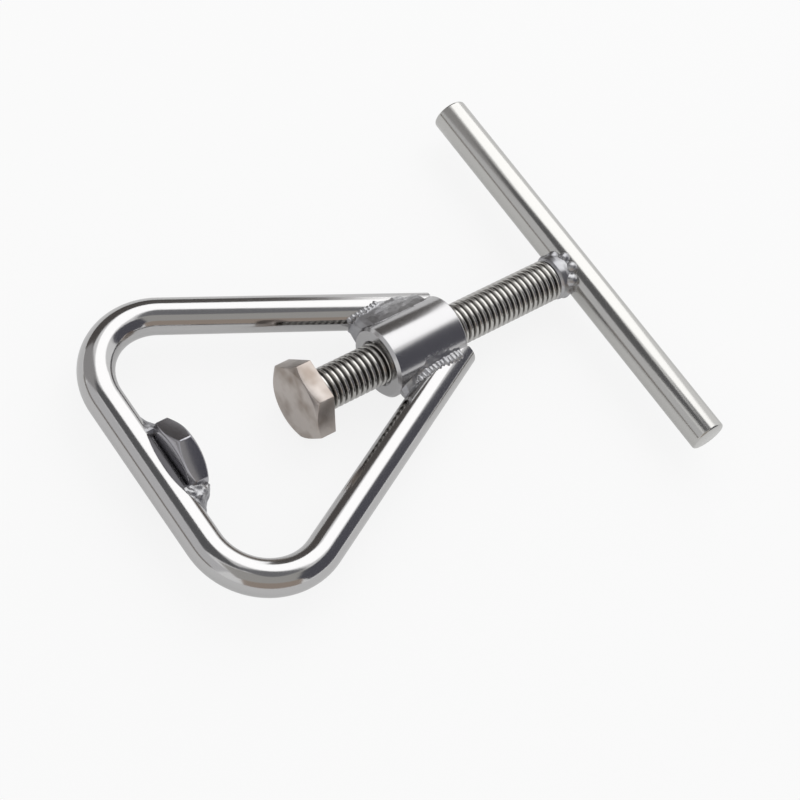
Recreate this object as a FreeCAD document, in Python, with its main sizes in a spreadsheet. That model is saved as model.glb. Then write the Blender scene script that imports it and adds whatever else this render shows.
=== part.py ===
import FreeCAD, Part
import math
import os
import Sketcher

# Screw press for hard-shelled nuts. A bent round rod makes a triangular frame, a sleeve at its
# apex guides a threaded bolt, and a cross bar on the bolt's outer end turns it.
# Directions: X runs along the bolt from the frame's base to the cross bar, Y lies across the
# frame, and Z is up when the press lies flat. Lengths are in millimetres, angles in degrees.

doc = FreeCAD.newDocument("screw_press")
sheet = doc.addObject("Spreadsheet::Sheet", "Sizes")

SIZES = [
    # Frame rod, measured on its centreline
    ("rod_diameter", 10.0),
    ("corner_half_width", 52.0),
    ("apex_distance", 109.0),
    ("bend_radius", 18.0),
    ("leg_end_distance", 93.4),
    # Sleeve
    ("sleeve_distance", 70.6),
    ("sleeve_length", 23.4),
    ("sleeve_diameter", 20.5),
    ("sleeve_chamfer", 0.6),
    # Hexagon that makes the fixed jaw
    ("jaw_flats", 19.6),
    ("jaw_height", 6.0),
    ("jaw_seat_distance", 4.3),
    # Bolt
    ("bolt_diameter", 12.0),
    ("bolt_running_clearance", 0.05),
    ("bolt_end_chamfer", 0.8),
    ("head_distance", 43.6),
    ("head_flats", 20.4),
    ("head_height", 5.7),
    ("head_turn", 6.5),
    ("head_gap", 0.1),
    # Rims of the hexagons: the chamfer's circle as a share of the flats, and its slope
    ("rim_share", 0.93),
    ("rim_slope", 30.0),
    # Cross bar
    ("bar_diameter", 10.4),
    ("bar_length", 124.0),
    ("bar_distance", 140.5),
    ("bar_offset", -0.9),
    ("bar_end_bevel", 0.6),
    # Welds
    ("weld_gap", 0.1),
    ("weld_root", 0.8),
    ("bead_radius", 1.8),
    ("bead_length", 14.0),
    ("bead_height", 4.4),
    ("jaw_weld_reach", 4.0),
    ("jaw_weld_width", 9.0),
    ("jaw_weld_rise", 4.4),
    ("bar_weld_diameter", 14.6),
    ("bar_weld_length", 8.0),
]

for row, (name, value) in enumerate(SIZES, 1):
    sheet.set("A%d" % row, name)
    sheet.set("B%d" % row, str(value))
    sheet.setAlias("B%d" % row, name)
doc.recompute()

# Shared formulas
LEG_ANGLE = "atan(Sizes.corner_half_width / Sizes.apex_distance)"
BASE_HALF = ("(Sizes.corner_half_width - Sizes.bend_radius"
             " / tan((90 deg - %s) / 2))" % LEG_ANGLE)
LEG_END_SIDE = ("((Sizes.apex_distance - Sizes.leg_end_distance)"
                " * Sizes.corner_half_width / Sizes.apex_distance)")
# The row's origin is under the middle of the bounding box, on the surface the press lies on.
ORIGIN_X = ("((Sizes.rod_diameter - Sizes.bar_diameter) / 2"
            " - Sizes.bar_distance) / 2")
AXIS_HEIGHT = ("max(Sizes.jaw_flats / 2 / cos(30 deg);"
               " Sizes.head_flats / 2 / cos(30 deg) * cos((30 - Sizes.head_turn) * 1 deg))")


def cell(name):
    """Value of one named size."""
    return float(sheet.get(name))


def leg_angle():
    """Half of the angle between the two legs, in radians."""
    return math.atan(cell("corner_half_width") / cell("apex_distance"))


def place(obj, along="0"):
    """Bind an object's place to the row frame, moved along the bolt by a formula."""
    obj.setExpression("Placement.Base.x", "%s + %s" % (ORIGIN_X, along))
    obj.setExpression("Placement.Base.z", AXIS_HEIGHT)


def new_body(name):
    """Empty PartDesign body with its own label."""
    body = doc.addObject("PartDesign::Body", name)
    body.Label = name
    return body


def plane(body, role):
    """One of the body's own origin planes or axes."""
    for feature in body.Origin.OriginFeatures:
        if feature.Role == role:
            return feature
    raise RuntimeError("no %s in %s" % (role, body.Label))


def new_sketch(body, name, role):
    """Sketch on one of the body's origin planes."""
    sketch = body.newObject("Sketcher::SketchObject", name)
    sketch.AttachmentSupport = [(plane(body, role), "")]
    sketch.MapMode = "FlatFace"
    return sketch


def bind(sketch, index, name, formula):
    """Name a constraint and bind it to a formula."""
    sketch.renameConstraint(index, name)
    sketch.setExpression("Constraints." + name, formula)


def pin_point(sketch, geo, pos, name, x, y):
    """Hold a point at x, y, each a pair of a value and a formula, or zero on an axis."""
    if x[1] == "0":
        sketch.addConstraint(Sketcher.Constraint("PointOnObject", geo, pos, -2))
    else:
        index = sketch.addConstraint(
            Sketcher.Constraint("DistanceX", -1, 1, geo, pos, x[0]))
        bind(sketch, index, name + "_x", x[1])
    if y[1] == "0":
        sketch.addConstraint(Sketcher.Constraint("PointOnObject", geo, pos, -1))
    else:
        index = sketch.addConstraint(
            Sketcher.Constraint("DistanceY", -1, 1, geo, pos, y[0]))
        bind(sketch, index, name + "_y", y[1])


def evaluate(obj, formula):
    """Number that a formula gives now."""
    value = obj.evalExpression(formula)
    return float(getattr(value, "Value", value))


def closed_outline(sketch, corners):
    """Closed outline of straight edges through corners, each a pair of formulas."""
    points = []
    for x, y in corners:
        points.append(((evaluate(sketch, x), x), (evaluate(sketch, y), y)))
    count = len(points)
    for i in range(count):
        a = points[i]
        b = points[(i + 1) % count]
        sketch.addGeometry(Part.LineSegment(
            FreeCAD.Vector(a[0][0], a[1][0], 0),
            FreeCAD.Vector(b[0][0], b[1][0], 0)), False)
    for i in range(count):
        sketch.addConstraint(Sketcher.Constraint(
            "Coincident", i, 2, (i + 1) % count, 1))
    for i, (x, y) in enumerate(points):
        pin_point(sketch, i, 1, "p%d" % i, x, y)


def circle_on_origin(sketch, radius):
    """Circle round the sketch's origin with a radius formula."""
    sketch.addGeometry(Part.Circle(
        FreeCAD.Vector(0, 0, 0), FreeCAD.Vector(0, 0, 1), evaluate(sketch, radius)), False)
    sketch.addConstraint(Sketcher.Constraint("Coincident", 0, 3, -1, 1))
    index = sketch.addConstraint(
        Sketcher.Constraint("Radius", 0, evaluate(sketch, radius)))
    bind(sketch, index, "radius", radius)


def hexagon_on_origin(sketch, flats, turn):
    """Hexagon round the sketch's origin, from its width across flats and a turn formula."""
    radius = "(%s / 2 / cos(30 deg))" % flats
    corners = []
    for i in range(6):
        angle = "(%s * 1 deg + %d deg)" % (turn, 60 * i)
        corners.append(("%s * cos%s" % (radius, angle), "%s * sin%s" % (radius, angle)))
    closed_outline(sketch, corners)


def revolve(body, name, sketch, kind):
    """Full turn of a sketch about its own horizontal axis, added or cut away."""
    feature = body.newObject("PartDesign::" + kind, name)
    feature.Profile = sketch
    feature.ReferenceAxis = (sketch, ["H_Axis"])
    feature.Angle = 360.0
    doc.recompute()
    return feature


def rim_cut(body, name, flats, face, step):
    """Bevel the six corners at one end of a hexagon: face is the end's place, step its sign."""
    sketch = new_sketch(body, name + "_section", "XY_Plane")
    inner = "(%s * Sizes.rim_share / 2)" % flats
    outer = "(%s * 0.62)" % flats
    fall = "((%s - %s) * tan(Sizes.rim_slope * 1 deg))" % (outer, inner)
    closed_outline(sketch, [
        ("%s - (%s) * 1" % (face, step), inner),
        (face, inner),
        ("%s + (%s) * %s" % (face, step, fall), outer),
        ("%s - (%s) * 1" % (face, step), outer)])
    return revolve(body, name, sketch, "Groove")


def rod_along_frame(body, radius, coped):
    """Round rod along the frame's centreline: half is swept, then mirrored."""
    section = new_sketch(body, body.Name + "_section", "XZ_Plane")
    circle_on_origin(section, radius)
    path = new_sketch(body, body.Name + "_path", "XY_Plane")
    base_half = evaluate(path, BASE_HALF)
    bend = cell("bend_radius")
    beta = leg_angle()
    centre = FreeCAD.Vector(bend, base_half, 0)
    tangent = FreeCAD.Vector(bend + bend * math.sin(beta), base_half + bend * math.cos(beta), 0)
    leg_end = FreeCAD.Vector(cell("leg_end_distance"), evaluate(path, LEG_END_SIDE), 0)
    path.addGeometry(Part.LineSegment(FreeCAD.Vector(0, 0, 0),
                                      FreeCAD.Vector(0, base_half, 0)), False)
    path.addGeometry(Part.ArcOfCircle(
        Part.Circle(centre, FreeCAD.Vector(0, 0, 1), bend),
        math.pi / 2 - beta, math.pi), False)
    path.addGeometry(Part.LineSegment(tangent, leg_end), False)
    path.addConstraint(Sketcher.Constraint("Coincident", 0, 1, -1, 1))
    path.addConstraint(Sketcher.Constraint("Vertical", 0))
    path.addConstraint(Sketcher.Constraint("Tangent", 0, 2, 1, 2))
    path.addConstraint(Sketcher.Constraint("Tangent", 1, 1, 2, 1))
    index = path.addConstraint(Sketcher.Constraint("DistanceY", 0, 1, 0, 2, base_half))
    bind(path, index, "base_half", BASE_HALF)
    index = path.addConstraint(Sketcher.Constraint("Radius", 1, bend))
    bind(path, index, "bend", "Sizes.bend_radius")
    pin_point(path, 2, 2, "leg_end", (leg_end.x, "Sizes.leg_end_distance"),
              (leg_end.y, LEG_END_SIDE))
    pipe = body.newObject("PartDesign::AdditivePipe", body.Name + "_sweep")
    pipe.Profile = section
    pipe.Spine = (path, ["Edge1", "Edge2", "Edge3"])
    doc.recompute()
    mirror = body.newObject("PartDesign::Mirrored", body.Name + "_mirror")
    mirror.Originals = [pipe]
    mirror.MirrorPlane = (plane(body, "XZ_Plane"), [""])
    body.Tip = mirror
    doc.recompute()
    if coped:
        cut = new_sketch(body, body.Name + "_cope_section", "XY_Plane")
        closed_outline(cut, [
            ("Sizes.sleeve_distance - Sizes.rod_diameter / 2", "0"),
            ("Sizes.apex_distance + Sizes.rod_diameter", "0"),
            ("Sizes.apex_distance + Sizes.rod_diameter", COPE_RADIUS),
            ("Sizes.sleeve_distance - Sizes.rod_diameter / 2", COPE_RADIUS)])
        revolve(body, body.Name + "_cope", cut, "Groove")


COPE_RADIUS = "(Sizes.sleeve_diameter / 2 + Sizes.weld_root + Sizes.weld_gap)"

# The frame's rod: the hardest piece. Its base and legs are one bent rod, and both leg ends are
# hollowed to fit round the sleeve.
frame_rod = new_body("frame_rod")
rod_along_frame(frame_rod, "Sizes.rod_diameter / 2", True)
place(frame_rod)

# Space that the rod needs, used to shape what is welded onto it
rod_space = new_body("rod_space")
rod_along_frame(rod_space, "Sizes.rod_diameter / 2 + Sizes.weld_gap", False)

# Sleeve: a turned tube whose bore guides the bolt
sleeve = new_body("sleeve")
section = new_sketch(sleeve, "sleeve_section", "XY_Plane")
bore = "(Sizes.bolt_diameter / 2 + Sizes.bolt_running_clearance)"
wall = "(Sizes.sleeve_diameter / 2)"
closed_outline(section, [
    ("Sizes.sleeve_chamfer", bore),
    ("Sizes.sleeve_length - Sizes.sleeve_chamfer", bore),
    ("Sizes.sleeve_length", bore + " + Sizes.sleeve_chamfer"),
    ("Sizes.sleeve_length", wall + " - Sizes.sleeve_chamfer"),
    ("Sizes.sleeve_length - Sizes.sleeve_chamfer", wall),
    ("Sizes.sleeve_chamfer", wall),
    ("0", wall + " - Sizes.sleeve_chamfer"),
    ("0", bore + " + Sizes.sleeve_chamfer")])
revolve(sleeve, "sleeve_turned", section, "Revolution")
place(sleeve, "Sizes.sleeve_distance")

# Fixed jaw: a thin solid hexagon, bevelled round its back, that sits on the base of the rod
jaw_blank = new_body("jaw_blank")
section = new_sketch(jaw_blank, "jaw_hexagon", "YZ_Plane")
hexagon_on_origin(section, "Sizes.jaw_flats", "30")
pad = jaw_blank.newObject("PartDesign::Pad", "jaw_pad")
pad.Profile = section
pad.setExpression("Length", "Sizes.jaw_height")
doc.recompute()
rim_cut(jaw_blank, "jaw_back_rim", "Sizes.jaw_flats", "0", "1")
jaw_blank.setExpression("Placement.Base.x", "Sizes.jaw_seat_distance")

jaw_nut = doc.addObject("Part::Cut", "jaw_nut")
jaw_nut.Label = "jaw_nut"
jaw_nut.Base = jaw_blank
jaw_nut.Tool = rod_space
place(jaw_nut)


def cylinder_along_x(name, radius, start, length):
    """Cylinder along the bolt's axis, bound to formulas."""
    obj = doc.addObject("Part::Cylinder", name)
    obj.setExpression("Radius", radius)
    obj.setExpression("Height", length)
    obj.Placement.Rotation = FreeCAD.Rotation(FreeCAD.Vector(0, 1, 0), 90)
    obj.setExpression("Placement.Base.x", start)
    return obj


def jaw_weld(name, side):
    """Fillet of weld metal in the corner between the jaw's flat and the rod."""
    body = new_body(name + "_blank")
    section = new_sketch(body, name + "_section", "XY_Plane")
    sign = "%d * " % side
    near = sign + "(Sizes.jaw_flats / 2 + Sizes.weld_gap)"
    far = sign + "(Sizes.jaw_flats / 2 + Sizes.jaw_weld_reach)"
    middle = sign + "(Sizes.jaw_flats / 2 + Sizes.jaw_weld_reach * 0.28)"
    seat = "Sizes.rod_diameter / 2"
    closed_outline(section, [
        ("Sizes.jaw_seat_distance", near),
        ("%s + Sizes.jaw_weld_rise" % seat, near),
        ("%s + Sizes.jaw_weld_rise * 0.45" % seat, middle),
        ("%s + Sizes.weld_gap + 0.2" % seat, far),
        ("Sizes.jaw_seat_distance", far)])
    pad = body.newObject("PartDesign::Pad", name + "_pad")
    pad.Profile = section
    pad.setExpression("Length", "Sizes.jaw_weld_width")
    pad.Midplane = True
    doc.recompute()
    cut = doc.addObject("Part::Cut", name)
    cut.Label = name
    cut.Base = body
    cut.Tool = rod_space
    place(cut)
    return cut


jaw_weld_upper = jaw_weld("jaw_weld_upper", 1)
jaw_weld_lower = jaw_weld("jaw_weld_lower", -1)


# Where the inner side of a leg first meets the sleeve, going towards the apex
CROTCH = ("(Sizes.apex_distance - (Sizes.sleeve_diameter + Sizes.rod_diameter / cos(%s))"
          " / 2 / tan(%s))" % (LEG_ANGLE, LEG_ANGLE))


def sleeve_weld(name, side):
    """Weld between one leg and the sleeve: a root layer, and a bead round the crotch."""
    outer = cylinder_along_x(
        name + "_root_outer", "Sizes.sleeve_diameter / 2 + Sizes.weld_root", CROTCH,
        "Sizes.leg_end_distance - %s" % CROTCH)
    inner = cylinder_along_x(
        name + "_root_inner", "Sizes.sleeve_diameter / 2 + Sizes.weld_gap",
        "%s - 10" % CROTCH, "Sizes.leg_end_distance - %s + 20" % CROTCH)
    shell = doc.addObject("Part::Cut", name + "_root_shell")
    shell.Base = outer
    shell.Tool = inner
    block = doc.addObject("Part::Box", name + "_root_block")
    block.setExpression("Length", "Sizes.bead_length")
    block.setExpression("Width", "Sizes.sleeve_diameter")
    block.setExpression("Height", "Sizes.bead_height * 2")
    block.setExpression("Placement.Base.x", CROTCH)
    if side < 0:
        block.setExpression("Placement.Base.y", "-Sizes.sleeve_diameter")
    block.setExpression("Placement.Base.z", "-Sizes.bead_height")
    root = doc.addObject("Part::Common", name + "_root")
    root.Base = shell
    root.Tool = block

    bead = new_body(name + "_bead")
    section = new_sketch(bead, name + "_bead_section", "YZ_Plane")
    high = evaluate(section, "Sizes.bead_height")
    start = evaluate(section, CROTCH)
    end = start + evaluate(section, "Sizes.bead_length")
    corners = []
    for i in range(8):
        angle = "(%s deg)" % (45 * i + 22.5)
        corners.append(("Sizes.bead_radius * cos%s" % angle,
                        "Sizes.bead_height + Sizes.bead_radius * sin%s" % angle))
    closed_outline(section, corners)
    section.AttachmentOffset = FreeCAD.Placement(
        FreeCAD.Vector(0, 0, end), FreeCAD.Rotation())
    section.setExpression("AttachmentOffset.Base.z", "%s + Sizes.bead_length" % CROTCH)
    path = new_sketch(bead, name + "_bead_path", "XZ_Plane")
    path.addGeometry(Part.LineSegment(
        FreeCAD.Vector(end, high, 0), FreeCAD.Vector(start + high, high, 0)), False)
    path.addGeometry(Part.ArcOfCircle(
        Part.Circle(FreeCAD.Vector(start + high, 0, 0), FreeCAD.Vector(0, 0, 1), high),
        math.pi / 2, math.pi * 3 / 2), False)
    path.addGeometry(Part.LineSegment(
        FreeCAD.Vector(start + high, -high, 0), FreeCAD.Vector(end, -high, 0)), False)
    path.addConstraint(Sketcher.Constraint("Tangent", 0, 2, 1, 1))
    path.addConstraint(Sketcher.Constraint("Tangent", 1, 2, 2, 1))
    path.addConstraint(Sketcher.Constraint("Horizontal", 0))
    path.addConstraint(Sketcher.Constraint("PointOnObject", 1, 3, -1))
    path.addConstraint(Sketcher.Constraint("Vertical", 0, 1, 2, 2))
    pin_point(path, 0, 1, "end", (end, "%s + Sizes.bead_length" % CROTCH),
              (high, "Sizes.bead_height"))
    index = path.addConstraint(
        Sketcher.Constraint("DistanceX", -1, 1, 1, 3, start + high))
    bind(path, index, "centre_x", "%s + Sizes.bead_height" % CROTCH)
    pipe = bead.newObject("PartDesign::AdditivePipe", name + "_bead_sweep")
    pipe.Profile = section
    pipe.Spine = (path, ["Edge1", "Edge2", "Edge3"])
    doc.recompute()
    bead.setExpression("Placement.Base.y",
                       "%d * (Sizes.sleeve_diameter / 2 - Sizes.weld_gap)" % side)

    clear_of_sleeve = doc.addObject("Part::Cut", name + "_bead_on_sleeve")
    clear_of_sleeve.Base = bead
    clear_of_sleeve.Tool = inner
    clear_of_rod = doc.addObject("Part::Cut", name + "_bead_on_rod")
    clear_of_rod.Base = clear_of_sleeve
    clear_of_rod.Tool = rod_space
    weld = doc.addObject("Part::Fuse", name)
    weld.Label = name
    weld.Base = clear_of_rod
    weld.Tool = root
    place(weld)
    return weld


sleeve_weld_upper = sleeve_weld("sleeve_weld_upper", 1)
sleeve_weld_lower = sleeve_weld("sleeve_weld_lower", -1)

# Bolt: the shank runs through the sleeve, and its hexagon head is the moving jaw
bolt_shank = new_body("bolt_shank")
section = new_sketch(bolt_shank, "shank_section", "XY_Plane")
SHANK_START = "(Sizes.head_distance + Sizes.head_height + Sizes.head_gap)"
SHANK_END = "(Sizes.bar_distance - Sizes.bar_diameter / 2 - Sizes.head_gap * 2)"
length = "(%s - %s)" % (SHANK_END, SHANK_START)
closed_outline(section, [
    ("0", "0"),
    (length, "0"),
    (length, "Sizes.bolt_diameter / 2 - Sizes.bolt_end_chamfer"),
    (length + " - Sizes.bolt_end_chamfer", "Sizes.bolt_diameter / 2"),
    ("0", "Sizes.bolt_diameter / 2")])
revolve(bolt_shank, "shank_turned", section, "Revolution")
place(bolt_shank, SHANK_START)

bolt_head = new_body("bolt_head")
section = new_sketch(bolt_head, "head_hexagon", "YZ_Plane")
hexagon_on_origin(section, "Sizes.head_flats", "Sizes.head_turn")
pad = bolt_head.newObject("PartDesign::Pad", "head_pad")
pad.Profile = section
pad.setExpression("Length", "Sizes.head_height")
doc.recompute()
rim_cut(bolt_head, "head_rim", "Sizes.head_flats", "0", "1")
place(bolt_head, "Sizes.head_distance")

# Cross bar: a plain round rod with bevelled ends
cross_bar = new_body("cross_bar")
section = new_sketch(cross_bar, "bar_section", "XZ_Plane")
circle_on_origin(section, "Sizes.bar_diameter / 2")
pad = cross_bar.newObject("PartDesign::Pad", "bar_pad")
pad.Profile = section
pad.setExpression("Length", "Sizes.bar_length")
pad.Midplane = True
doc.recompute()
rims = []
for number, edge in enumerate(pad.Shape.Edges, 1):
    if isinstance(edge.Curve, Part.Circle):
        rims.append("Edge%d" % number)
bevels = cross_bar.newObject("PartDesign::Chamfer", "bar_end_bevels")
bevels.Base = (pad, rims)
bevels.setExpression("Size", "Sizes.bar_end_bevel")
doc.recompute()
place(cross_bar, "Sizes.bar_distance")
cross_bar.setExpression("Placement.Base.y", "Sizes.bar_offset")

# Weld that joins the bolt's end to the cross bar
blob = new_body("bar_weld_blank")
section = new_sketch(blob, "bar_weld_section", "XY_Plane")
wide = "(Sizes.bar_weld_diameter / 2)"
closed_outline(section, [
    ("Sizes.bar_weld_length * -0.5", "0"),
    ("Sizes.bar_weld_length * 0.5", "0"),
    ("Sizes.bar_weld_length * 0.5", wide + " * 0.6"),
    ("Sizes.bar_weld_length * 0.25", wide + " * 0.9"),
    ("Sizes.bar_weld_length * 0.05", wide),
    ("Sizes.bar_weld_length * -0.2", wide + " * 0.96"),
    ("Sizes.bar_weld_length * -0.5", "Sizes.bolt_diameter / 2 + Sizes.weld_gap * 2")])
revolve(blob, "bar_weld_turned", section, "Revolution")
blob.setExpression("Placement.Base.x", "Sizes.bar_distance - Sizes.bar_diameter / 2")
shank_space = cylinder_along_x(
    "shank_space", "Sizes.bolt_diameter / 2 + Sizes.bolt_running_clearance",
    "Sizes.bar_distance - Sizes.bar_diameter / 2 - Sizes.bar_weld_length",
    "Sizes.bar_weld_length - Sizes.head_gap")
bar_space = doc.addObject("Part::Cylinder", "bar_space")
bar_space.setExpression("Radius", "Sizes.bar_diameter / 2 + Sizes.weld_gap")
bar_space.setExpression("Height", "Sizes.bar_length")
bar_space.Placement.Rotation = FreeCAD.Rotation(FreeCAD.Vector(1, 0, 0), 90)
bar_space.setExpression("Placement.Base.x", "Sizes.bar_distance")
bar_space.setExpression("Placement.Base.y", "Sizes.bar_length / 2 + Sizes.bar_offset")
open_blob = doc.addObject("Part::Cut", "bar_weld_open")
open_blob.Base = blob
open_blob.Tool = shank_space
bar_weld = doc.addObject("Part::Cut", "bar_weld")
bar_weld.Label = "bar_weld"
bar_weld.Base = open_blob
bar_weld.Tool = bar_space
place(bar_weld)

doc.recompute()

PARTS = [frame_rod, sleeve, jaw_nut, sleeve_weld_upper, sleeve_weld_lower,
         jaw_weld_upper, jaw_weld_lower, bolt_shank, bolt_head, cross_bar, bar_weld]

for obj in doc.Objects:
    if "Invalid" in obj.State or "Error" in obj.State:
        raise RuntimeError("%s did not build: %s" % (obj.Label, obj.State))
for obj in PARTS:
    if obj.Shape.isNull() or not obj.Shape.isValid():
        raise RuntimeError("%s has no valid shape" % obj.Label)
    if len(obj.Shape.Solids) != 1:
        raise RuntimeError("%s has %d solids" % (obj.Label, len(obj.Shape.Solids)))

os.makedirs("parts", exist_ok=True)
for obj in PARTS:
    obj.Shape.exportStep(os.path.join("parts", obj.Label + ".step"))
    box = obj.Shape.BoundBox
    print("%-18s volume %9.1f  x %7.2f %7.2f  y %7.2f %7.2f  z %6.2f %6.2f" % (
        obj.Label, obj.Shape.Volume, box.XMin, box.XMax, box.YMin, box.YMax,
        box.ZMin, box.ZMax))
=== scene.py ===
import math

import bmesh
import bpy
from bpy.props import (FloatProperty, FloatVectorProperty, IntProperty,
                       PointerProperty)
from mathutils import Euler, Matrix, Vector
from mathutils import noise as lumps


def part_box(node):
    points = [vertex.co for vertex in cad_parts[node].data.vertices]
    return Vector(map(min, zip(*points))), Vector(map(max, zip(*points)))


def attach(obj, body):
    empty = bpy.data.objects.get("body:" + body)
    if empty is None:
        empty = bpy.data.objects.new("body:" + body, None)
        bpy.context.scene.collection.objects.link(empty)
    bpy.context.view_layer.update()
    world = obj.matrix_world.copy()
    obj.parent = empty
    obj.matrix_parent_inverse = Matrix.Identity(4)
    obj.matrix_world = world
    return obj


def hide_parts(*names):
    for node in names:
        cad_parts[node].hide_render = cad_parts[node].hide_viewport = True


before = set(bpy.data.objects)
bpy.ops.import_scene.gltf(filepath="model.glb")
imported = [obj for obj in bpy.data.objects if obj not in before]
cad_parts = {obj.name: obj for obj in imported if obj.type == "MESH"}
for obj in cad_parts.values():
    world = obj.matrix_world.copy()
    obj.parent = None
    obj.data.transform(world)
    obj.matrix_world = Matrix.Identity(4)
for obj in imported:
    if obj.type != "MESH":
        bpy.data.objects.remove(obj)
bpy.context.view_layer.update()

bl_info = {
    "name": "Screw press nutcracker",
    "version": (1, 0, 0),
    "blender": (4, 5, 0),
    "location": "View3D > Sidebar > Screw press",
    "description": "Builds the looks of a screw press nutcracker round its CAD frame",
    "category": "Object",
}

MM = 0.001

ROD_LOW, ROD_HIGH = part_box("frame_rod")
SLEEVE_LOW, SLEEVE_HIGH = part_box("sleeve")
JAW_LOW, JAW_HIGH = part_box("jaw_nut")
SHANK_LOW, SHANK_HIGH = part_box("bolt_shank")
HEAD_LOW, HEAD_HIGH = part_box("bolt_head")
BAR_LOW, BAR_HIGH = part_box("cross_bar")
AXIS_Z = (ROD_LOW.z + ROD_HIGH.z) / 2
ROD_RADIUS = (ROD_HIGH.z - ROD_LOW.z) / 2
BASE_X = ROD_LOW.x + ROD_RADIUS
SLEEVE_RADIUS = (SLEEVE_HIGH.z - SLEEVE_LOW.z) / 2
THREAD_RADIUS = (SHANK_HIGH.z - SHANK_LOW.z) / 2
BAR_RADIUS = (BAR_HIGH.x - BAR_LOW.x) / 2
BAR_X = (BAR_HIGH.x + BAR_LOW.x) / 2

# Sleeve: its edges, the bore's clearance round the thread, and how far the cutter that hollows
# the leg ends reaches past it
SLEEVE_FRONT_CHAMFER = 0.8 * MM
SLEEVE_BACK_ROUND = 0.5 * MM
BORE_CHAMFER = 0.6 * MM
BORE_CLEARANCE = 0.05 * MM
COPE_OVERHANG = 0.02

# Hexagons: width over flats, turn in degrees, the rim's circle as a share of the flats, and
# the softening of the edges
JAW_FLATS, JAW_TURN, JAW_RIM_SHARE, JAW_SOFTENING = 19.6 * MM, 30.0, 0.93, 0.32 * MM
HEAD_FLATS, HEAD_TURN, HEAD_RIM_SHARE, HEAD_SOFTENING = 20.4 * MM, 6.5, 0.975, 0.3 * MM
RIM_SLOPE = math.radians(30.0)
HEXAGON_POINTS = 180

# Thread: the grid's spare turns at each end, the flat and the slope of a groove as shares of
# half a pitch, the core's depth as a share of the thread's, the slopes of its two ends, how
# fast the spare turns close, how far the ridges stay inside the shank, and the painted shade
# in the grooves, darker towards the root: its colour, and the depth at which it has gone as a
# share of the thread's
SPARE_TURNS = 2
GROOVE_FLAT, FLANK = 0.14, 0.5
CORE_DEPTH = 1.15
START_SLOPE, END_SLOPE = 1.2, 1.0
END_CLOSING = 0.5
THREAD_INSET = 0.02 * MM
GROOVE_PAINTED_SHADE = (0.07, 0.066, 0.062)
RIDGE_TOP = 0.2

# Cross bar and its weld: the collar's (x, radius) profile in millimetres, the middle line of
# the lobes round it, the size of one lobe, and their spacing as a share of the weld ripple's
BAR_END_ROUND = 0.6 * MM
COLLAR_START = BAR_X - BAR_RADIUS - 4.0 * MM
COLLAR = ((0.0, 0.0), (0.0, 5.7), (0.7, 6.25), (2.4, 6.3), (4.2, 5.9), (5.6, 4.9), (6.2, 0.0))
SADDLE_STEPS = 40
SADDLE_STAND, SADDLE_DIP, SADDLE_RADIUS = 3.7 * MM, 2.6 * MM, 4.9 * MM
LOBE = (1.9 * MM, 2.2 * MM, 2.2 * MM)
LOBE_SPREAD = 2.7
BAR_WELD_VOXEL = 0.16 * MM
BAR_WELD_LUMPS = (0.12 * MM, 2.2 * MM)

# Welds at the sleeve and at the jaw: the skin's voxel, the size of the lumps, a ripple's
# length and height, and the jaw weld's heel and back in millimetres from the base's centreline
SLEEVE_WELD_VOXEL, SLEEVE_WELD_LUMP_SIZE = 0.14 * MM, 1.3 * MM
JAW_WELD_VOXEL, JAW_WELD_LUMP_SIZE = 0.16 * MM, 1.6 * MM
BEAD_LENGTH, BEAD_HEIGHT = 0.8 * MM, 0.95 * MM
JAW_WELD_HEEL, JAW_WELD_BACK = 2.0, 1.6
JAW_WELD_POINTS = 24

# Stain on the metal: where it starts on the noise and how fast it deepens
STAIN_START, STAIN_SLOPE = 0.42, 3.0


# ---------------------------------------------------------------- node writing

class Wire:
    """One output of a node. Arithmetic on it adds Math nodes."""

    def __init__(self, graph, socket):
        self.graph = graph
        self.socket = socket

    def other(self, name):
        """Another output of the same node."""
        return Wire(self.graph, self.socket.node.outputs[name])

    def math(self, operation, first, second=None, third=None):
        """Math node on one, two or three values."""
        values = {i: v for i, v in enumerate((first, second, third)) if v is not None}
        return self.graph.node("ShaderNodeMath", {"operation": operation}, values)

    def __add__(self, value):
        return self.math("ADD", self, value)

    def __radd__(self, value):
        return self.math("ADD", value, self)

    def __sub__(self, value):
        return self.math("SUBTRACT", self, value)

    def __rsub__(self, value):
        return self.math("SUBTRACT", value, self)

    def __mul__(self, value):
        return self.math("MULTIPLY", self, value)

    def __rmul__(self, value):
        return self.math("MULTIPLY", value, self)

    def __truediv__(self, value):
        return self.math("DIVIDE", self, value)

    def __rtruediv__(self, value):
        return self.math("DIVIDE", value, self)

    def least(self, value):
        """The smaller of this and a value."""
        return self.math("MINIMUM", self, value)

    def most(self, value):
        """The larger of this and a value."""
        return self.math("MAXIMUM", self, value)

    def fold(self, operation):
        """A Math node that takes one value, such as SINE or FRACT."""
        return self.math(operation, self)


class Graph:
    """Writes the nodes of one tree."""

    def __init__(self, tree):
        self.tree = tree

    def node(self, kind, settings=None, values=None, out=0):
        """New node: its settings first, then the values or links of its sockets."""
        made = self.tree.nodes.new(kind)
        for name, value in (settings or {}).items():
            if name == "stops":
                ramp = made.color_ramp
                while len(ramp.elements) < len(value):
                    ramp.elements.new(1.0)
                for element, (place, colour) in zip(ramp.elements, value):
                    element.position = place
                    element.color = colour
            else:
                setattr(made, name, value)
        for key, value in (values or {}).items():
            if isinstance(value, Wire):
                self.tree.links.new(value.socket, made.inputs[key])
            else:
                made.inputs[key].default_value = value
        return Wire(self, made.outputs[out])


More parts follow.
